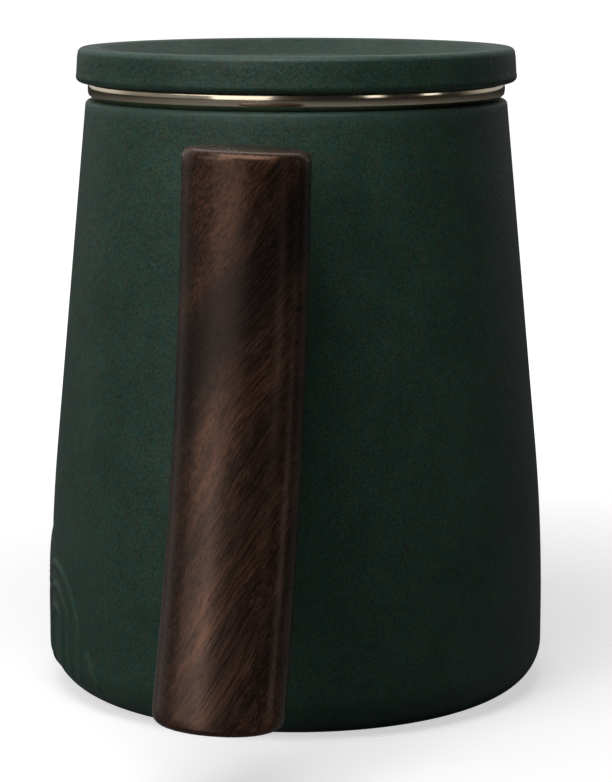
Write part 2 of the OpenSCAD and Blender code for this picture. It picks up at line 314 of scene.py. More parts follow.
for i in range(1, fillet_steps + 1):
    t = i / fillet_steps
    ring = []
    for a, b in zip(foot, corner):
        ring.append(cup_vert((1 - t) ** 2 * a + 2 * t * (1 - t) * b + t * t * (b + along * lug_fillet)))
    bridge(cup, last, ring)
    last = ring
side = [p - out * lug_fillet for p, out in outer]
end_rings = [(pocket_floor - lug_end_row, 0), (pocket_floor - lug_edge_r, 0)]
end_rings += [(pocket_floor - lug_edge_r * 0.3, lug_edge_r * 0.3), (pocket_floor, lug_edge_r)]
for x, inset in end_rings:
    ring = []
    for p, (_, out) in zip(side, outer):
        flat = p - out * inset
        ring.append(cup_vert(lug_frame @ Vector((x, flat.x, flat.y)), lug_thinness if inset else 0))
    bridge(cup, last, ring)
    last = ring


def ring_edges(mesh, ring):
    """The edges round a ring of points."""
    return [mesh.edges.get((ring[k], ring[(k + 1) % len(ring)])) for k in range(len(ring))]


def dowel_holes(mesh, new_point, depth):
    """The walls and bottoms of the two holes for the dowels, and the edges of their mouths."""
    mouths = []
    for side_sign in (-1, 1):
        rims = []
        for x in (pocket_floor, pocket_floor + depth):
            rim = []
            for k in range(hole_sides):
                a = 2 * math.pi * k / hole_sides
                up = side_sign * dowel_spacing / 2 + dowel_hole_r * math.sin(a)
                rim.append(new_point(lug_frame @ Vector((x, dowel_hole_r * math.cos(a), up))))
            rims.append(rim)
        bridge(mesh, rims[0], rims[1])
        mesh.faces.new(rims[1])
        mouths += ring_edges(mesh, rims[0])
    return mouths


# End face of the lug, with the two blind holes for the dowels
face_edges = ring_edges(cup, last)
face_edges += dowel_holes(cup, lambda place: cup_vert(place, clay=1), -hole_in_lug)
for face in bmesh.ops.triangle_fill(cup, use_beauty=True, use_dissolve=False, edges=face_edges)["geom"]:
    if isinstance(face, bmesh.types.BMFace):
        face.smooth = False
bmesh.ops.recalc_face_normals(cup, faces=cup.faces[:])


def plain_mesh(name, mesh, *materials):
    """Turns a bmesh into a mesh with its materials."""
    data = bpy.data.meshes.new(name)
    mesh.to_mesh(data)
    mesh.free()
    for material in materials:
        data.materials.append(material)
    return data


def put_in_scene(data):
    """An object of the scene that shows a mesh, a lamp or a camera, and has its name."""
    thing = bpy.data.objects.new(data.name, data)
    bpy.context.scene.collection.objects.link(thing)
    return thing


def place_piece(data, body, slot, *nodes):
    """Shows a mesh as a piece that stands for CAD nodes and rides on their body."""
    piece = put_in_scene(data)
    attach(piece, body)
    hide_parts(*nodes)


def fill(tree, node, inputs):
    """Fills a node's inputs with values or links."""
    for name, value in dict(inputs).items():
        if isinstance(value, bpy.types.NodeSocket):
            tree.links.new(value, node.inputs[name])
        else:
            node.inputs[name].default_value = value


def add(tree, kind, inputs=(), **settings):
    """Adds a node, sets its properties, and fills its inputs."""
    node = tree.nodes.new(kind)
    for name, value in settings.items():
        setattr(node, name, value)
    fill(tree, node, inputs)
    return node


def maths(tree, operation, *values, clamp=False):
    """A Math node's result."""
    kind = "ShaderNodeMath"
    return add(tree, kind, enumerate(values), operation=operation, use_clamp=clamp).outputs[0]


def weighted(tree, *parts):
    """The sum of values, each times its own weight."""
    total = 0.0
    for value, weight in parts:
        total = maths(tree, "MULTIPLY_ADD", value, weight, total)
    return total


def noise(tree, vector, scale, detail=2.0, roughness=0.5, distortion=0.0):
    """Noise from 0 to 1, its scale in features per metre."""
    inputs = {"Vector": vector, "Scale": scale, "Detail": detail, "Roughness": roughness}
    return add(tree, "ShaderNodeTexNoise", {**inputs, "Distortion": distortion}).outputs["Fac"]


def stretched(tree, vector, scales):
    """The place, with its axes stretched by different amounts."""
    return add(tree, "ShaderNodeVectorMath", {0: vector, 1: scales}, operation="MULTIPLY").outputs[0]


def drawn_noise(tree, vector, scales, detail=2.0, roughness=0.5):
    """Noise from 0 to 1 with its own scale along each axis."""
    return noise(tree, stretched(tree, vector, scales), 1.0, detail, roughness)


def spread(tree, value, low, high, to_low=0.0, to_high=1.0):
    """Maps low..high smoothly to to_low..to_high."""
    inputs = {"Value": value, "From Min": low, "From Max": high, "To Min": to_low, "To Max": to_high}
    return add(tree, "ShaderNodeMapRange", inputs, interpolation_type="SMOOTHSTEP").outputs["Result"]


def blend_colour(tree, factor, first, second, mode="MIX"):
    """Mixes two colours."""
    inputs = {0: factor, 6: first, 7: second}
    return add(tree, "ShaderNodeMix", inputs, data_type="RGBA", blend_type=mode).outputs[2]


def tinted(tree, colour, tint):
    """A colour times a tint."""
    return blend_colour(tree, 1.0, colour, tint, "MULTIPLY")


def grey(level):
    """A neutral colour."""
    return (level, level, level, 1)


def mark(tree, name):
    """A mark, from 0 to 1, that the points of the mesh carry."""
    return add(tree, "ShaderNodeAttribute", attribute_name=name).outputs["Fac"]


def bump(tree, height, strength, depth):
    """The normal of a surface with a fine relief, its depth in metres."""
    inputs = {"Strength": strength, "Distance": depth, "Height": height}
    return add(tree, "ShaderNodeBump", inputs).outputs["Normal"]


def new_group(name, inputs, outputs):
    """An empty shader node group with the given sockets."""
    group = bpy.data.node_groups.new(name, "ShaderNodeTree")
    for socket, (kind, value) in inputs.items():
        made = group.interface.new_socket(socket, in_out="INPUT", socket_type=kind)
        if value is not None:
            made.default_value = value
    for socket, kind in outputs.items():
        group.interface.new_socket(socket, in_out="OUTPUT", socket_type=kind)
    return group, group.nodes.new("NodeGroupInput").outputs, group.nodes.new("NodeGroupOutput").inputs


def new_material(name):
    """A material with its node tree, its Principled shader and the object coordinates."""
    material = bpy.data.materials.new(name)
    material.use_nodes = True
    tree = material.node_tree
    shader = tree.nodes["Principled BSDF"]
    place = add(tree, "ShaderNodeTexCoord").outputs["Object"]
    return material, tree, shader, place


VECTOR, FLOAT = "NodeSocketVector", "NodeSocketFloat"

# Cloudy: soft light and dark patches, from 0 to 1, that every finish here uses for its tone.
cloudy, given, result = new_group(
    "cloudy_tone", {"Place": (VECTOR, None), "Patch Size": (FLOAT, 0.02), "Contrast": (FLOAT, 1.0)},
    {"Tone": FLOAT})
per_metre = maths(cloudy, "DIVIDE", 1.0, given["Patch Size"])
broad = noise(cloudy, given["Place"], per_metre, 3.0, 0.55)
narrow = noise(cloudy, given["Place"], maths(cloudy, "MULTIPLY", per_metre, 5.3), 2.0)
swing = maths(cloudy, "SUBTRACT", weighted(cloudy, (broad, 0.7), (narrow, 0.3)), 0.5)
swing = maths(cloudy, "MULTIPLY", swing, given["Contrast"])
cloudy.links.new(maths(cloudy, "MULTIPLY_ADD", swing, 2.0, 0.5, clamp=True), result["Tone"])

# Handled: faint smears and hairline scratches that change how a surface shines.
handled, given, result = new_group(
    "handled_surface", {"Place": (VECTOR, None), "Smear Size": (FLOAT, 0.012), "Amount": (FLOAT, 0.1)},
    {"Roughness Shift": FLOAT})
per_metre = maths(handled, "DIVIDE", 1.0, given["Smear Size"])
smear = maths(handled, "SUBTRACT", noise(handled, given["Place"], per_metre, 4.0, 0.6, 0.8), 0.5)
scratches = spread(handled, drawn_noise(handled, given["Place"], (5200, 900, 700)), 0.62, 0.72)
total = weighted(handled, (smear, 1.0), (scratches, 0.35))
handled.links.new(maths(handled, "MULTIPLY", total, given["Amount"]), result["Roughness Shift"])


def cloudy_tone(tree, place, patch_size, contrast):
    """Light and dark patches of the given size in metres."""
    inputs = {"Place": place, "Patch Size": patch_size, "Contrast": contrast}
    return add(tree, "ShaderNodeGroup", inputs, node_tree=cloudy).outputs["Tone"]


def handled_shift(tree, place, smear_size, amount):
    """How much rougher or smoother handling has made each spot."""
    inputs = {"Place": place, "Smear Size": smear_size, "Amount": amount}
    return add(tree, "ShaderNodeGroup", inputs, node_tree=handled).outputs["Roughness Shift"]


# The glaze. Its relief is lumpy and leathery, with a fine skin.
green_glaze, tree, shader, place = new_material("matte_green_glaze")
deep_green = (0.0104, 0.0300, 0.0190, 1)
sea_green = (0.0188, 0.0460, 0.0300, 1)
thin_green = (0.040, 0.078, 0.062, 1)
warm_tint = (1.34, 0.94, 0.80, 1)
cool_tint = (0.68, 1.06, 1.20, 1)
bare_clay = (0.36, 0.29, 0.225, 1)
dark_clay = (0.26, 0.20, 0.15, 1)
lumps = add(tree, "ShaderNodeTexVoronoi", {"Vector": place, "Scale": 1050, "Smoothness": 0.8},
            feature="SMOOTH_F1").outputs["Distance"]
skin = noise(tree, place, 2100, 3.0, 0.6)
leather = noise(tree, place, 620, 3.0, 0.6, 0.5)
drift = noise(tree, place, 260)
# Colour: cloudy green, mottled warm and cool, powdery, with light flecks and thin edges
colour = blend_colour(tree, cloudy_tone(tree, place, 0.013, 1.6), deep_green, sea_green)
mottle = spread(tree, noise(tree, place, 640, 3.0, 0.6), 0.3, 0.7)
colour = tinted(tree, colour, blend_colour(tree, mottle, warm_tint, cool_tint))
specks = spread(tree, noise(tree, place, 2700, 2.0, 0.7), 0.34, 0.66)
colour = tinted(tree, colour, blend_colour(tree, specks, grey(0.55), grey(1.45)))
flecks = spread(tree, noise(tree, place, 1500), 0.58, 0.76)
colour = blend_colour(tree, maths(tree, "MULTIPLY", flecks, 0.10), colour, thin_green)
break_up = spread(tree, noise(tree, place, 900, 3.0), 0.3, 0.6, 0.45, 1.0)
thin = maths(tree, "MULTIPLY", mark(tree, "edge"), break_up)
colour = blend_colour(tree, thin, colour, thin_green)
clay = spread(tree, weighted(tree, (mark(tree, "clay"), 1.0), (drift, 0.3)), 0.55, 0.7)
clay_colour = blend_colour(tree, cloudy_tone(tree, place, 0.004, 1.2), dark_clay, bare_clay)
colour = blend_colour(tree, clay, colour, clay_colour)
# Shine: matte outside, smoother inside and rough on the clay
matte = maths(tree, "ADD", maths(tree, "MULTIPLY_ADD", leather, 0.14, 0.44),
              handled_shift(tree, place, 0.02, 0.12))
matte = maths(tree, "MULTIPLY_ADD", mark(tree, "gloss"), -0.16, matte)
matte = maths(tree, "MULTIPLY_ADD", clay, 0.3, matte, clamp=True)
relief = weighted(tree, (lumps, 0.45), (skin, 0.3), (leather, 1.1), (drift, 0.8))
fill(tree, shader, {
    "Base Color": colour, "Roughness": matte, "Normal": bump(tree, relief, 0.6, 0.00014),
    "Specular IOR Level": 0.32})

place_piece(plain_mesh("stoneware_cup", cup, green_glaze), "cup", "matte_glaze", "cup_body")

# ------------------------------------------------------------------------------------------
# Bar: one piece of dark walnut, sawn and sanded to a curve with its grain running slantwise,
# its ends cut almost level and eased, oiled to a satin. A pocket in its back takes the lug, and
# two dowels glued into both hold it there.
# ------------------------------------------------------------------------------------------
bar_width = 22 * mm
bar_squareness = 2.1
bar_cuts = (106 * mm, 15 * mm)
end_slant = math.radians(2)
bar_ease = 1.6 * mm
bar_sides = 96
bar_rows = 84
ease_steps = 6
end_rings_at = (0.75, 0.45, 0.2)
smooth_to = math.radians(38)
glue_gap = 0.2 * mm
pocket_sides = 72
hole_in_bar = 8.6 * mm


def bar_point(turn, away, across):
    """A point of the bar: turn along its curve, away from the hand side, across to +Y."""
    r = bar_curve_r + away
    return Vector((bar_centre.x - r * math.cos(turn), across, bar_centre.z - r * math.sin(turn)))


def rounded_oval(half_x, half_y, angle):
    """A point on an oval with flattened sides."""
    c, s = math.cos(angle), math.sin(angle)
    power = 2 / bar_squareness
    return math.copysign(abs(c) ** power, c) * half_x, math.copysign(abs(s) ** power, s) * half_y


def cut_turn(height, away, across):
    """How far along the curve a fibre of the bar meets a slanting cut at the given height."""
    z = (height - across * math.sin(end_slant)) / math.cos(end_slant)
    return math.asin((bar_centre.z - z) / (bar_curve_r + away))


bar = bmesh.new()
# The bar's points carry a mark for lighter eased ends, partly wear and partly a painted highlight.
wear_and_highlight_layer = bar.verts.layers.float.new("edge")


def bar_ring(share, drop, inset, wear_and_highlight, size=1):
    """One ring of points round the bar, drawn in by inset, or a share of its end's size."""
    half_x, half_y = size * (bar_depth / 2 - inset), size * (bar_width / 2 - inset)
    ring = []
    for k in range(bar_sides):
        away, across = rounded_oval(half_x, half_y, 2 * math.pi * k / bar_sides)
        first = cut_turn(bar_cuts[0] - drop, away, across)
        last = cut_turn(bar_cuts[1] + drop, away, across)
        vert = bar.verts.new(bar_point(first + share * (last - first), away, across))
        vert[wear_and_highlight_layer] = wear_and_highlight
        ring.append(vert)
    return ring


# Rings along the bar: share of its length, distance inside the cuts, and how far drawn in
quarter = [math.pi / 2 * i / ease_steps for i in range(ease_steps + 1)]
eased = [(bar_ease * (1 - math.sin(a)), bar_ease * (1 - math.cos(a))) for a in quarter]
stations = [(0, drop, inset) for drop, inset in reversed(eased[1:])]
stations += [(share, bar_ease, 0) for share in between(0, 1, bar_rows)]
stations += [(1, drop, inset) for drop, inset in eased[1:]]
# Rows on the eased ends get the mark for lighter wood there, partly wear and partly a painted highlight.
bar_rings = [bar_ring(*station, 1 if station[2] > 0.2 * bar_ease else 0) for station in stations]
for lower, upper in zip(bar_rings, bar_rings[1:]):
    bridge(bar, lower, upper)
for last_ring, share in ((bar_rings[0], 0), (bar_rings[-1], 1)):
    for size in end_rings_at:
        ring = bar_ring(share, 0, bar_ease, 0, size)
        bridge(bar, last_ring, ring)
        last_ring = ring
    bridge(bar, last_ring, [bar.verts.new(bar_point(cut_turn(bar_cuts[share], 0, 0), 0, 0))])
bmesh.ops.recalc_face_normals(bar, faces=bar.faces[:])

# The wood and its oil. Oiled wood shines in its own colour, most where it is light.
walnut, tree, shader, place = new_material("oiled_walnut")
black_brown = (0.0070, 0.0047, 0.0038, 1)
mid_brown = (0.0125, 0.0074, 0.0054, 1)
red_brown = (0.036, 0.0166, 0.0102, 1)
pore_brown = (0.005, 0.0035, 0.003, 1)
wear_and_highlight_brown = (0.09, 0.048, 0.030, 1)
dull_sheen = (0.36, 0.27, 0.24, 1)
bright_sheen = (1.0, 0.54, 0.37, 1)
grain_turn = (math.radians(35), math.radians(24), 0)
grain_wander = 8 * mm
heart_way, heart_core, heart_edge = -45.2 * mm, 2.6 * mm, 7.5 * mm
# The grain's own axes, Z along the fibres, which wander a little
grain = add(tree, "ShaderNodeMapping", {"Vector": place, "Rotation": grain_turn}).outputs[0]
wander = maths(tree, "MULTIPLY", maths(tree, "SUBTRACT", noise(tree, grain, 18), 0.5), grain_wander)
sideways = add(tree, "ShaderNodeCombineXYZ", {"X": wander, "Y": wander, "Z": 0.0}).outputs[0]
fibre = add(tree, "ShaderNodeVectorMath", {0: grain, 1: sideways}, operation="ADD").outputs[0]
broad = drawn_noise(tree, fibre, (55, 70, 10))
figure = drawn_noise(tree, fibre, (80, 100, 8), 2.0, 0.45)
rings = drawn_noise(tree, fibre, (420, 560, 16), 3.0, 0.55)
fibres = drawn_noise(tree, fibre, (2500, 2500, 80), 3.0, 0.6)
pores = spread(tree, drawn_noise(tree, fibre, (5200, 5200, 460), 1.0), 0.62, 0.74)
# Colour: red-brown and mid brown streaks, with dark lines, a dark heart and fine pores
fine_figure = maths(tree, "MULTIPLY", spread(tree, rings, 0.32, 0.68), 0.45)
lightness = maths(tree, "MULTIPLY_ADD", spread(tree, broad, 0.36, 0.64), 0.45, fine_figure)
fibre_tone = spread(tree, fibres, 0.3, 0.7, 0.35, 1.65)
lightness = maths(tree, "MULTIPLY", lightness, fibre_tone, clamp=True)
colour = blend_colour(tree, lightness, mid_brown, red_brown)
streaks = maths(tree, "ABSOLUTE", maths(tree, "SUBTRACT", figure, 0.5))
streaks = spread(tree, streaks, 0.0, 0.10, 1.0, 0.0)
across_grain = add(tree, "ShaderNodeSeparateXYZ", {0: fibre}).outputs["Y"]
heart = maths(tree, "ABSOLUTE", maths(tree, "SUBTRACT", across_grain, heart_way))
heart = spread(tree, heart, heart_core, heart_edge, 1.0, 0.0)
dark = maths(tree, "MAXIMUM", maths(tree, "MULTIPLY", streaks, 0.5), maths(tree, "MULTIPLY", heart, 0.9))
colour = blend_colour(tree, dark, colour, black_brown)
colour = blend_colour(tree, maths(tree, "MULTIPLY", pores, 0.3), colour, pore_brown)
# Eased ends turn a lighter brown, partly as wear and partly as a painted highlight.
colour = blend_colour(tree, maths(tree, "MULTIPLY", mark(tree, "edge"), 0.2), colour, wear_and_highlight_brown)
shade = blend_colour(tree, cloudy_tone(tree, place, 0.03, 1.2), grey(0.8), grey(1.2))
colour = tinted(tree, colour, shade)
fibre_shade = blend_colour(tree, spread(tree, fibres, 0.3, 0.7), grey(0.66), grey(1.3))
colour = tinted(tree, colour, fibre_shade)
# Shine: satin along the fibres, duller in the pores and where the wood is dark
satin = maths(tree, "ADD", maths(tree, "MULTIPLY_ADD", fibres, 0.22, 0.16),
              handled_shift(tree, place, 0.014, 0.12))
satin = maths(tree, "MULTIPLY_ADD", pores, 0.2, satin, clamp=True)
light = maths(tree, "MULTIPLY", maths(tree, "ADD", lightness, 0.25),
              maths(tree, "SUBTRACT", 1.0, dark), clamp=True)
relief = weighted(tree, (fibres, 0.5), (pores, -0.35))
fill(tree, shader, {
    "Base Color": colour, "Roughness": satin, "Normal": bump(tree, relief, 0.6, 0.00010),
    "Specular IOR Level": 0.6, "Specular Tint": blend_colour(tree, light, dull_sheen, bright_sheen)})

# The pocket and the dowel holes are cut out of the bar by one cutter.
cutter = bmesh.new()
pocket = [stadium(2 * math.pi * k / pocket_sides, glue_gap)[0] for k in range(pocket_sides)]
floor_ring = [cutter.verts.new(lug_frame @ Vector((pocket_floor, p.x, p.y))) for p in pocket]
mouth_ring = [cutter.verts.new(lug_frame @ Vector((-bar_depth, p.x, p.y))) for p in pocket]
bridge(cutter, mouth_ring, floor_ring)
cutter.faces.new(mouth_ring)
cutter_edges = ring_edges(cutter, floor_ring) + dowel_holes(cutter, cutter.verts.new, hole_in_bar)
bmesh.ops.triangle_fill(cutter, use_beauty=True, use_dissolve=False, edges=cutter_edges)
bmesh.ops.recalc_face_normals(cutter, faces=cutter.faces[:])


def evaluated_mesh(name, thing):
    """Plain mesh of an object with its modifiers, and the object is removed."""
    graph = bpy.context.evaluated_depsgraph_get()
    data = bpy.data.meshes.new_from_object(thing.evaluated_get(graph))
    raw = thing.data
    bpy.data.objects.remove(thing)
    bpy.data.meshes.remove(raw)
    data.name = name
    return data


blank = put_in_scene(plain_mesh("bar_blank", bar))
tool = put_in_scene(plain_mesh("pocket_cutter", cutter))
cut = blank.modifiers.new("pocket", "BOOLEAN")
cut.operation = "DIFFERENCE"
cut.solver = "EXACT"
cut.object = tool
bar_data = evaluated_mesh("walnut_bar", blank)
bpy.data.meshes.remove(tool.data)
bar_data.set_sharp_from_angle(angle=smooth_to)
bar_data.materials.clear()
bar_data.materials.append(walnut)
place_piece(bar_data, "cup", "walnut", "handle")

# ------------------------------------------------------------------------------------------
# Dowels: two short steel pins, turned with shallow grooves that hold the glue. They are
# hidden in the lug and the bar, so the solids are shown as they are, in turned steel.
# ------------------------------------------------------------------------------------------
steel, tree, shader, place = new_material("turned_steel")
dark_steel = (0.50, 0.50, 0.52, 1)
light_steel = (0.66, 0.66, 0.68, 1)
turned = drawn_noise(tree, place, (500, 500, 9000))
brushed = maths(tree, "ADD", maths(tree, "MULTIPLY_ADD", turned, 0.2, 0.22),
                handled_shift(tree, place, 0.003, 0.2))
fill(tree, shader, {
    "Base Color": blend_colour(tree, cloudy_tone(tree, place, 0.003, 1.0), dark_steel, light_steel),
    "Roughness": brushed, "Normal": bump(tree, turned, 0.3, 0.00002), "Metallic": 1.0})
for node_name in ("upper_dowel", "lower_dowel"):
    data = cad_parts[node_name].data
    if not data.materials:
        data.materials.append(steel)
    for k in range(len(data.materials)):
        data.materials[k] = steel

# ------------------------------------------------------------------------------------------
# Infuser rim: a band rolled and turned from stainless steel sheet, polished and plated
# champagne gold. It stands on the cup's lip, and its collar hangs inside.
# ------------------------------------------------------------------------------------------
rim_low, rim_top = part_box("infuser_rim")[0].z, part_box("infuser_rim")[1].z
rim_r = 39 * mm
collar_r = 34.9 * mm
sheet = 0.5 * mm
rim_edge_r = 1 * mm
rim_land = collar_r + 2.8 * mm
under_top = cup_top + 0.8 * mm
bevel = 0.3 * mm
crown = 0.12 * mm
soft = 0.15 * mm
collar_end = 0.5 * mm

# The band's face is slightly crowned, and a small rounding runs into it from above and below.
half_band = (rim_top - under_top) / 2 - bevel
crown_r = (half_band ** 2 + crown ** 2) / (2 * crown)
crown_angle = math.degrees(math.asin(half_band / crown_r))
corner_r = bevel / (1 - half_band / crown_r)
corner_centre_r = rim_r - crown - corner_r * math.cos(math.radians(crown_angle))


def lathe(outline, columns, closed=True):
    """A turned mesh from rows of (radius, height, edge), with how far along the outline each row is."""
    mesh = bmesh.new()
    edge_mark = mesh.verts.layers.float.new("edge")
    along_mark = mesh.verts.layers.float.new("along")
    rows, way = [], 0
    for i, (r, z, edge) in enumerate(outline):
        if i:
            way += math.hypot(r - outline[i - 1][0], z - outline[i - 1][1])
        row = []
        for k in range(columns if r > 0 else 1):
            a = 2 * math.pi * k / columns
            vert = mesh.verts.new((r * math.cos(a), r * math.sin(a), z))
            vert[edge_mark] = edge
            vert[along_mark] = way
            row.append(vert)
        rows.append(row)
    for lower, upper in zip(rows, rows[1:]):
        bridge(mesh, lower, upper)
    if closed:
        bridge(mesh, rows[-1], rows[0])
    bmesh.ops.recalc_face_normals(mesh, faces=mesh.faces[:])
    return mesh


def marked(points, edge=0):
    """Rows of a lathe's outline that all have the same edge mark."""
    return [(r, z, edge) for r, z in points]


rim_columns = 288
rim_outline = [(collar_r - sheet, rim_low), (collar_r, rim_low)]
rim_outline += [(collar_r, z) for z in between(rim_low + collar_end, cup_top - 0.4 * mm, 6)]
rim_outline += [(collar_r, cup_top - soft), (collar_r + soft, cup_top)]
rim_outline += [(collar_r + 1.2 * mm, cup_top), (rim_land - soft, cup_top)]
rim_outline += [(rim_land + 0.1 * mm, cup_top + 0.1 * mm)]
rim_outline += arc(corner_centre_r, under_top + corner_r, corner_r, -45, -crown_angle, 5)
rim_outline += arc(rim_r - crown_r, rim_top - bevel - half_band, crown_r, -crown_angle, crown_angle, 10)[1:-1]
rim_outline += arc(corner_centre_r, rim_top - corner_r, corner_r, crown_angle, 90, 5)
rim_outline += [(collar_r + 1.4 * mm, rim_top)]
rim_outline += arc(collar_r - sheet + rim_edge_r, rim_top - rim_edge_r, rim_edge_r, 90, 180, 8)
rim_outline += [(collar_r - sheet, z) for z in between(rim_top - 2 * mm, rim_low + collar_end, 6)]
rim_mesh = lathe(marked(rim_outline), rim_columns)

gold, tree, shader, place = new_material("champagne_gold")
pale_gold = (0.83, 0.715, 0.545, 1)
deep_gold = (0.70, 0.59, 0.43, 1)
lines_per_metre = 5200.0
least_roughness = 0.07
# Fine turned lines: they change fast along the outline and slowly round the axis.
line_way = maths(tree, "MULTIPLY", mark(tree, "along"), lines_per_metre)
line_way = add(tree, "ShaderNodeCombineXYZ", {"X": 0.0, "Y": 0.0, "Z": line_way}).outputs[0]
round_way = stretched(tree, place, (22, 22, 0))
line_place = add(tree, "ShaderNodeVectorMath", {0: round_way, 1: line_way}, operation="ADD").outputs[0]
lines = noise(tree, line_place, 1.0, 3.0, 0.6)
polish = maths(tree, "ADD", maths(tree, "MULTIPLY_ADD", lines, 0.06, 0.11),
               handled_shift(tree, place, 0.01, 0.12))
fill(tree, shader, {
    "Base Color": blend_colour(tree, cloudy_tone(tree, place, 0.008, 1.2), deep_gold, pale_gold),
    "Roughness": maths(tree, "MAXIMUM", polish, least_roughness),
    "Normal": bump(tree, lines, 0.18, 0.000012), "Metallic": 1.0})
place_piece(plain_mesh("gold_rim", rim_mesh, gold), "infuser", "champagne_steel", "infuser_rim")

# ------------------------------------------------------------------------------------------
# Infuser wall: stainless sheet punched flat with staggered round holes, then rolled into a
# tube, seam-welded, welded on under the rim's collar and plated with it.
# ------------------------------------------------------------------------------------------
basket_low, basket_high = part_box("infuser_wall")[0].z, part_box("infuser_wall")[1].z
basket_margin = 3 * mm
hole_r = 0.62 * mm
wall_columns = 84
row_rise = math.sqrt(3) / 2
corner_reach = 1 / math.cos(math.pi / 6)
cell_points = 12
end_row_share = 0.62
weld = 20e-6


def new_tree(name, inputs):
    """An empty Geometry Nodes tree with named inputs and one geometry output."""
    made = bpy.data.node_groups.new(name, "GeometryNodeTree")
    made.interface.new_socket("Geometry", in_out="INPUT", socket_type="NodeSocketGeometry")
    for socket, kind in inputs.items():
        made.interface.new_socket(socket, in_out="INPUT", socket_type=kind)
    made.interface.new_socket("Geometry", in_out="OUTPUT", socket_type="NodeSocketGeometry")
    return made, made.nodes.new("NodeGroupInput").outputs, made.nodes.new("NodeGroupOutput").inputs


def run_tree(name, tree, values, start=None):
    """Runs a tree on a bmesh, or on an empty mesh, and gives the result as a plain mesh."""
    thing = put_in_scene(plain_mesh(name, start or bmesh.new()))
    modifier = thing.modifiers.new(name, "NODES")
    modifier.node_group = tree
    for item in tree.interface.items_tree:
        if item.item_type == "SOCKET" and item.in_out == "INPUT" and item.name in values:
            modifier[item.identifier] = values[item.name]
    return evaluated_mesh(name, thing)


def staggered(tree, per_row):
    """Each point's row and column, every other row shifted by half a column."""
    index = add(tree, "GeometryNodeInputIndex").outputs[0]
    row = maths(tree, "FLOOR", maths(tree, "DIVIDE", maths(tree, "ADD", index, 0.5), per_row))
    column = maths(tree, "SUBTRACT", index, maths(tree, "MULTIPLY", row, per_row))
    return row, maths(tree, "MULTIPLY_ADD", maths(tree, "MODULO", row, 2.0), 0.5, column)


def compare(tree, first, second, operation, kind="FLOAT"):
    """Whether the comparison of two values holds."""
    sockets = (2, 3) if kind == "INT" else (0, 1)
    inputs = {sockets[0]: first, sockets[1]: second}
    return add(tree, "FunctionNodeCompare", inputs, data_type=kind, operation=operation).outputs[0]


LENGTH, COUNT, MATERIAL = "NodeSocketFloat", "NodeSocketInt", "NodeSocketMaterial"
tree, given, result = new_tree("punched_tube", {
    "Radius": LENGTH, "Columns": COUNT, "Rows": COUNT, "Hole Radius": LENGTH, "Low": LENGTH, "High": LENGTH,
    "Thickness": LENGTH, "Material": MATERIAL})
inner_radius = maths(tree, "SUBTRACT", given["Radius"], given["Thickness"])
girth = maths(tree, "MULTIPLY", inner_radius, 2 * math.pi)
pitch = maths(tree, "DIVIDE", girth, given["Columns"])
row_pitch = maths(tree, "MULTIPLY", pitch, row_rise)
half_pitch = maths(tree, "MULTIPLY", pitch, 0.5)
# One cell: a round hole inside a hexagon, with twelve points on each
hole = add(tree, "GeometryNodeMeshCircle", {
    "Vertices": cell_points, "Radius": given["Hole Radius"]}).outputs[0]
cell = add(tree, "GeometryNodeExtrudeMesh", {"Mesh": hole, "Offset Scale": 0.0}, mode="EDGES")
odd = maths(tree, "MODULO", add(tree, "GeometryNodeInputIndex").outputs[0], 2.0)
corner_share = maths(tree, "MULTIPLY_ADD", odd, corner_reach - 1, 1.0)
outwards = maths(tree, "DIVIDE", maths(tree, "MULTIPLY", half_pitch, corner_share), given["Hole Radius"])
here = add(tree, "GeometryNodeInputPosition").outputs[0]
at_hexagon = add(tree, "ShaderNodeVectorMath", {0: here, "Scale": outwards}, operation="SCALE").outputs[0]
cell = add(tree, "GeometryNodeSetPosition", {
    "Geometry": cell.outputs["Mesh"], "Selection": cell.outputs["Top"], "Position": at_hexagon}).outputs[0]
# The punched sheet: cells in rows, every other row shifted by half a pitch
row, shifted = staggered(tree, given["Columns"])
rows_high = maths(tree, "MULTIPLY", maths(tree, "SUBTRACT", given["Rows"], 1.0), row_pitch)
middle_z = maths(tree, "MULTIPLY", maths(tree, "ADD", given["Low"], given["High"]), 0.5)
first_row_z = maths(tree, "SUBTRACT", middle_z, maths(tree, "MULTIPLY", rows_high, 0.5))
spot = add(tree, "ShaderNodeCombineXYZ", {
    "X": maths(tree, "MULTIPLY", shifted, pitch),
    "Y": maths(tree, "MULTIPLY_ADD", row, row_pitch, first_row_z)}).outputs[0]
spots = add(tree, "GeometryNodePoints", {
    "Count": maths(tree, "MULTIPLY", given["Rows"], given["Columns"]), "Position": spot}).outputs[0]
cells = add(tree, "GeometryNodeInstanceOnPoints", {"Points": spots, "Instance": cell}).outputs[0]
cells = add(tree, "GeometryNodeRealizeInstances", {"Geometry": cells}).outputs[0]
flat_sheet = add(tree, "GeometryNodeMergeByDistance", {"Geometry": cells, "Distance": weld}).outputs[0]
# Rolled into a tube and closed at its seam
parts = add(tree, "ShaderNodeSeparateXYZ", {0: here}).outputs
turn = maths(tree, "DIVIDE", parts["X"], inner_radius)
rolled = add(tree, "ShaderNodeCombineXYZ", {
    "X": maths(tree, "MULTIPLY", maths(tree, "COSINE", turn), inner_radius),
    "Y": maths(tree, "MULTIPLY", maths(tree, "SINE", turn), inner_radius),
    "Z": parts["Y"]}).outputs[0]
tube = add(tree, "GeometryNodeSetPosition", {"Geometry": flat_sheet, "Position": rolled}).outputs[0]
tube = add(tree, "GeometryNodeMergeByDistance", {"Geometry": tube, "Distance": weld}).outputs[0]
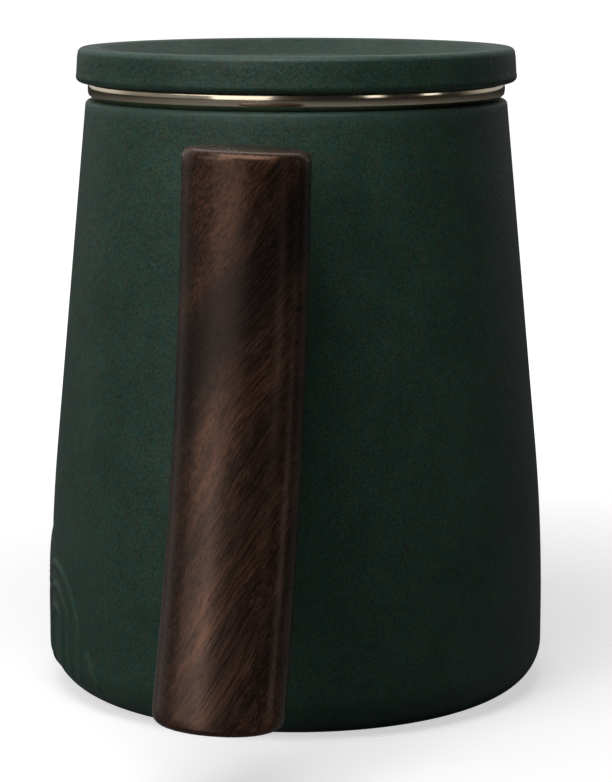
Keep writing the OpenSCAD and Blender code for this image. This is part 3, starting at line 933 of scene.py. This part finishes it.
# Plain margins above the top row and below the bottom row
faces_beside = add(tree, "GeometryNodeInputMeshEdgeNeighbors").outputs[0]
is_border = compare(tree, faces_beside, 1, "EQUAL", "INT")
past_holes = maths(tree, "MULTIPLY", half_pitch, end_row_share)
last_row_z = maths(tree, "ADD", first_row_z, rows_high)
above = compare(tree, parts["Z"], maths(tree, "ADD", last_row_z, past_holes), "GREATER_THAN")
below = compare(tree, parts["Z"], maths(tree, "SUBTRACT", first_row_z, past_holes), "LESS_THAN")
for side_test, end_z in ((above, given["High"]), (below, given["Low"])):
    chosen = add(tree, "FunctionNodeBooleanMath", {0: is_border, 1: side_test}, operation="AND").outputs[0]
    grown = add(tree, "GeometryNodeExtrudeMesh", {"Mesh": tube, "Selection": chosen, "Offset Scale": 0.0},
                mode="EDGES")
    to_end = add(tree, "ShaderNodeCombineXYZ", {"X": parts["X"], "Y": parts["Y"], "Z": end_z}).outputs[0]
    tube = add(tree, "GeometryNodeSetPosition", {
        "Geometry": grown.outputs["Mesh"], "Selection": grown.outputs["Top"], "Position": to_end}).outputs[0]
# Thickness: the outer skin and the walls of the holes grow out of the inner skin
thick = add(tree, "GeometryNodeExtrudeMesh", {
    "Mesh": tube, "Offset Scale": given["Thickness"], "Individual": False}, mode="FACES")
outer_skin = add(tree, "GeometryNodeSetShadeSmooth", {
    "Geometry": thick.outputs["Mesh"], "Selection": thick.outputs["Side"], "Shade Smooth": False}).outputs[0]
inner_skin = add(tree, "GeometryNodeFlipFaces", {"Mesh": tube}).outputs[0]
skins = add(tree, "GeometryNodeJoinGeometry")
for skin in (outer_skin, inner_skin):
    tree.links.new(skin, skins.inputs[0])
closed = add(tree, "GeometryNodeMergeByDistance", {"Geometry": skins.outputs[0], "Distance": weld}).outputs[0]
closed = add(tree, "GeometryNodeRealizeInstances", {"Geometry": closed}).outputs[0]
closed = add(tree, "GeometryNodeSetMaterial", {"Geometry": closed, "Material": given["Material"]}).outputs[0]
tree.links.new(closed, result["Geometry"])

wall_pitch = 2 * math.pi * (collar_r - sheet) / wall_columns
wall_rows = int((basket_high - basket_low - 2 * basket_margin) / (wall_pitch * row_rise)) + 1
wall_data = run_tree("perforated_wall", tree, {
    "Radius": collar_r, "Columns": wall_columns, "Rows": wall_rows, "Hole Radius": hole_r,
    "Low": basket_low, "High": basket_high, "Thickness": sheet, "Material": gold})
place_piece(wall_data, "infuser", "champagne_steel", "infuser_wall")

# ------------------------------------------------------------------------------------------
# Infuser floor: a shallow pan pressed from the same sheet, punched like the wall over its
# flat part, with a rounded edge that turns up to the wall's lower end and is welded to it.
# ------------------------------------------------------------------------------------------
pan_corner_r = 2.5 * mm
pan_low, pan_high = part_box("infuser_floor")[0].z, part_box("infuser_floor")[1].z
pan_columns = 160
pan_pitch = 2.9 * mm
field_r = collar_r - pan_corner_r - 1.6 * mm
pan_outline = [(0, pan_low)] + arc(collar_r - pan_corner_r, pan_high, pan_corner_r, -90, 0, 8)
pan_outline += arc(collar_r - pan_corner_r, pan_high, pan_corner_r - sheet, 0, -90, 8)
pan_mesh = lathe(marked(pan_outline + [(0, pan_low + sheet)]), pan_columns, closed=False)

tree, given, result = new_tree("punched_disc", {
    "Hole Radius": LENGTH, "Pitch": LENGTH, "Field Radius": LENGTH, "Rows": COUNT, "Height": LENGTH,
    "Depth": LENGTH, "Material": MATERIAL})
row, shifted = staggered(tree, given["Rows"])
half_rows = maths(tree, "MULTIPLY", maths(tree, "SUBTRACT", given["Rows"], 1.0), 0.5)
row_pitch = maths(tree, "MULTIPLY", given["Pitch"], row_rise)
spot = add(tree, "ShaderNodeCombineXYZ", {
    "X": maths(tree, "MULTIPLY", maths(tree, "SUBTRACT", shifted, half_rows), given["Pitch"]),
    "Y": maths(tree, "MULTIPLY", maths(tree, "SUBTRACT", row, half_rows), row_pitch),
    "Z": given["Height"]}).outputs[0]
spots = add(tree, "GeometryNodePoints", {
    "Count": maths(tree, "MULTIPLY", given["Rows"], given["Rows"]), "Position": spot}).outputs[0]
here = add(tree, "GeometryNodeInputPosition").outputs[0]
flat = stretched(tree, here, (1, 1, 0))
away = add(tree, "ShaderNodeVectorMath", {0: flat}, operation="LENGTH").outputs["Value"]
in_field = compare(tree, away, given["Field Radius"], "LESS_THAN")
punch = add(tree, "GeometryNodeMeshCylinder", {
    "Vertices": cell_points, "Radius": given["Hole Radius"], "Depth": given["Depth"]}).outputs[0]
punches = add(tree, "GeometryNodeInstanceOnPoints", {
    "Points": spots, "Selection": in_field, "Instance": punch}).outputs[0]
punches = add(tree, "GeometryNodeRealizeInstances", {"Geometry": punches}).outputs[0]
punched = add(tree, "GeometryNodeMeshBoolean", {"Mesh 1": given["Geometry"], "Mesh 2": punches},
              operation="DIFFERENCE", solver="EXACT").outputs[0]
punched = add(tree, "GeometryNodeSetMaterial", {"Geometry": punched, "Material": given["Material"]})
tree.links.new(punched.outputs[0], result["Geometry"])
pan_rows = 2 * int(field_r / (pan_pitch * row_rise)) + 1
pan_data = run_tree("punched_pan", tree, {
    "Hole Radius": hole_r, "Pitch": pan_pitch, "Field Radius": field_r - hole_r, "Rows": pan_rows,
    "Height": pan_low + sheet / 2, "Depth": 3 * sheet, "Material": gold}, pan_mesh)
pan_data.set_sharp_from_angle(angle=smooth_to)
place_piece(pan_data, "infuser", "champagne_steel", "infuser_floor")

# ------------------------------------------------------------------------------------------
# Lid: turned stoneware in the cup's glaze, with a raised edge round a dished top. A ring
# under it drops into the infuser's collar and keeps it centred. It only rests there.
# ------------------------------------------------------------------------------------------
lid_low, lid_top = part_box("lid")[0].z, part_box("lid")[1].z
lid_r = 41.2 * mm
lid_top_r = lid_r - 0.4 * mm
lid_edge_w = 3.2 * mm
dish_depth = 3.4 * mm
lid_ring_r = 34 * mm
lid_ring_w = 3.5 * mm
lid_soft = 1.1 * mm
lid_under = rim_top - 0.8 * mm
lid_ring_edge = 0.7 * mm
lid_ring_root = 0.8 * mm
ring_thinness, under_thinness, top_thinness, dish_thinness = 0.6, 0.35, 0.9, 0.4
dish_slope = math.radians(32)
dish_edge = 2 * mm
dish_foot = 5 * mm
dish_r = lid_top_r - lid_edge_w
dish_z = lid_top - dish_depth
sloping_h = dish_depth - (dish_edge + dish_foot) * (1 - math.cos(dish_slope))
dish_floor_r = dish_r - (dish_edge + dish_foot) * math.sin(dish_slope) - sloping_h / math.tan(dish_slope)
ring_in_r = lid_ring_r - lid_ring_w
lid_columns = 288


def rounded(points, thinness):
    """Rows of a rounded edge, where the glaze is thinnest halfway round."""
    steps = len(points) - 1
    return [(r, z, thinness * math.sin(math.pi * i / steps)) for i, (r, z) in enumerate(points)]


lid_rows = marked([(0, lid_under), (12 * mm, lid_under), (24 * mm, lid_under)])
lid_rows += marked(arc(ring_in_r - lid_ring_root, lid_under - lid_ring_root, lid_ring_root, 90, 0, 4))
lid_rows += marked([(ring_in_r, lid_low + 1.6 * mm)])
for r, start in ((ring_in_r + lid_ring_edge, 180), (lid_ring_r - lid_ring_edge, 270)):
    ring_edge = arc(r, lid_low + lid_ring_edge, lid_ring_edge, start, start + 90, 5)
    lid_rows += marked(ring_edge, ring_thinness)
lid_rows += marked([(lid_ring_r, z) for z in (lid_low + 1.6 * mm, rim_top - 1.2 * mm, rim_top - 0.3 * mm)])
lid_rows += marked([(lid_ring_r + 0.3 * mm, rim_top), (lid_r - 3 * mm, rim_top)])
under_edge = arc(lid_r - lid_soft, rim_top + lid_soft, lid_soft, -90, 0, 8)
lid_rows += marked(under_edge[:1]) + marked(under_edge[1:7], under_thinness) + marked(under_edge[7:])
for z in between(rim_top + lid_soft, lid_top - lid_soft, 7)[1:]:
    side_share = (z - rim_top) / (lid_top - rim_top)
    lid_rows += marked([(lid_r - side_share * (lid_r - lid_top_r), z)])
lid_rows += rounded(arc(lid_top_r - lid_soft, lid_top - lid_soft, lid_soft, 0, 90, 9), top_thinness)
slope_turn = math.degrees(dish_slope)
inner_edge = arc(dish_r, lid_top - dish_edge, dish_edge, 90, 90 + slope_turn, 7)
lid_rows += rounded(inner_edge, dish_thinness)
dish_side = arc(dish_floor_r, dish_z + dish_foot, dish_foot, slope_turn - 90, -90, 8)
(low_r, low_z), (high_r, high_z) = dish_side[0], inner_edge[-1]
lid_rows += marked([((low_r + high_r) / 2, (low_z + high_z) / 2)] + dish_side)
lid_rows += marked([(r, dish_z) for r in between(dish_floor_r - 3 * mm, 0, 6)] + [(0, dish_z)])
lid_mesh = lathe(lid_rows, lid_columns, closed=False)
place_piece(plain_mesh("dished_lid", lid_mesh, green_glaze), "lid", "matte_glaze", "lid")

# ------------------------------------------------------------------------------------------
# Studio: a pale floor that keeps the mug's shadow and runs out into white. Two key lamps stand
# one above the other in front and to the left, a softbox farther to the left, a small lamp over
# the mug, two strips on the right, a soft light behind, and the room is brighter on the left.
# ------------------------------------------------------------------------------------------
cup_axis_away = 0.504
camera_height = 0.1429
camera_turn = math.radians(8.7)
aim_height = 0.0553
aim_right = 0.0018
focal_px, frame_long_px, sensor = 2677, 782, 36
room_dark, room_bright, wall_behind, strip_light = 0.02, 0.26, 0.42, 1.6
strip_soft = 3
to_camera = Vector((math.cos(camera_turn), math.sin(camera_turn), 0))
to_right = Vector((-math.sin(camera_turn), math.cos(camera_turn), 0))
white = grey(1)


def seen_directly(tree):
    """1 for what the camera sees, also through something clear."""
    path = add(tree, "ShaderNodeLightPath").outputs
    return maths(tree, "MAXIMUM", path["Is Camera Ray"], path["Is Transmission Ray"])


def along_way(tree, vector, way):
    """How far a direction points the given way."""
    return add(tree, "ShaderNodeVectorMath", {0: vector, 1: way}, operation="DOT_PRODUCT").outputs["Value"]


floor_r = 8.0
floor_mesh = bmesh.new()
bmesh.ops.create_circle(floor_mesh, cap_ends=True, segments=96, radius=floor_r)
paper, tree, shader, place = new_material("pale_paper")
far = add(tree, "ShaderNodeVectorMath", {0: place}, operation="LENGTH").outputs["Value"]
seen = seen_directly(tree)
glow = blend_colour(tree, spread(tree, far, 0.05, 0.35), grey(0.58), white)
fill(tree, shader, {
    "Base Color": blend_colour(tree, seen, grey(0.24), grey(0.62)), "Roughness": 0.9,
    "Specular IOR Level": 0.0, "Emission Color": blend_colour(tree, seen, grey(0), glow),
    "Emission Strength": 1.0})
studio_floor = put_in_scene(plain_mesh("studio_floor", floor_mesh, paper))

world = bpy.data.worlds.new("studio_room")
bpy.context.scene.world = world
world.use_nodes = True
tree = world.node_tree
looking = add(tree, "ShaderNodeTexCoord").outputs["Generated"]
leftness = along_way(tree, looking, -to_right)
frontness = along_way(tree, looking, to_camera)
up = add(tree, "ShaderNodeSeparateXYZ", {0: looking}).outputs["Z"]
room = spread(tree, leftness, -0.2, 1.0, room_dark, room_bright)
# Only mirroring shows the wall behind the mug and the strips on the right, each given by its
# turn from the camera and its half width, in degrees.
mirrored = spread(tree, frontness, -0.6, -0.1, wall_behind, 0.0)
right_turn = maths(tree, "ARCTAN2", maths(tree, "MULTIPLY", leftness, -1.0), frontness)
strip_height = maths(tree, "MULTIPLY", spread(tree, up, 0.11, 0.17), spread(tree, up, 0.30, 0.38, 1.0, 0.0))
for turn, half_width in ((43, 6), (79, 7)):
    off = maths(tree, "ABSOLUTE", maths(tree, "SUBTRACT", right_turn, math.radians(turn)))
    full, none = math.radians(half_width - strip_soft), math.radians(half_width)
    strip = spread(tree, off, full, none, strip_light, 0.0)
    mirrored = maths(tree, "MULTIPLY_ADD", strip, strip_height, mirrored)
glossy = add(tree, "ShaderNodeLightPath").outputs["Is Glossy Ray"]
room = maths(tree, "MULTIPLY_ADD", glossy, mirrored, room)
backing = tree.nodes["Background"]
fill(tree, backing, {"Color": blend_colour(tree, seen_directly(tree), room, white), "Strength": 1.0})


def soft_lamp(name, turn, rise, away, width, height, power):
    """A rectangular lamp that looks at the middle of the mug, at angles in degrees."""
    data = bpy.data.lights.new(name, "AREA")
    data.shape = "RECTANGLE"
    data.size, data.size_y = width, height
    data.energy = power
    lamp = put_in_scene(data)
    a, e = math.radians(turn), math.radians(rise)
    back = Vector((math.cos(a) * math.cos(e), math.sin(a) * math.cos(e), math.sin(e)))
    lamp.location = Vector((0, 0, cup_top / 2)) + back * away
    lamp.rotation_euler = back.to_track_quat("Z", "Y").to_euler()


# Each lamp: turn and rise, distance, width and height in metres, and power in watts
soft_lamp("key_low", -21, 13, 1.1, 0.62, 0.42, 1.1)
soft_lamp("key_high", -29, 34, 1.1, 0.26, 0.4, 1.4)
soft_lamp("left_softbox", -50, 30, 1.1, 0.5, 0.5, 1.4)
soft_lamp("top_lamp", -7, 62, 0.36, 0.24, 0.22, 0.80)
soft_lamp("back_softbox", 188.7, 50, 1.1, 0.8, 0.5, 1.2)

# The camera stands half a metre from the cup's axis, a little round from the bar.
camera_data = bpy.data.cameras.new("camera")
camera_data.sensor_width = sensor
camera_data.lens = sensor * focal_px / frame_long_px
camera = put_in_scene(camera_data)
camera.location = to_camera * cup_axis_away + Vector((0, 0, camera_height))
aim = to_right * aim_right + Vector((0, 0, aim_height))
camera.rotation_euler = (camera.location - aim).to_track_quat("Z", "Y").to_euler()
bpy.context.scene.camera = camera
bpy.context.scene.view_settings.view_transform = "Standard"
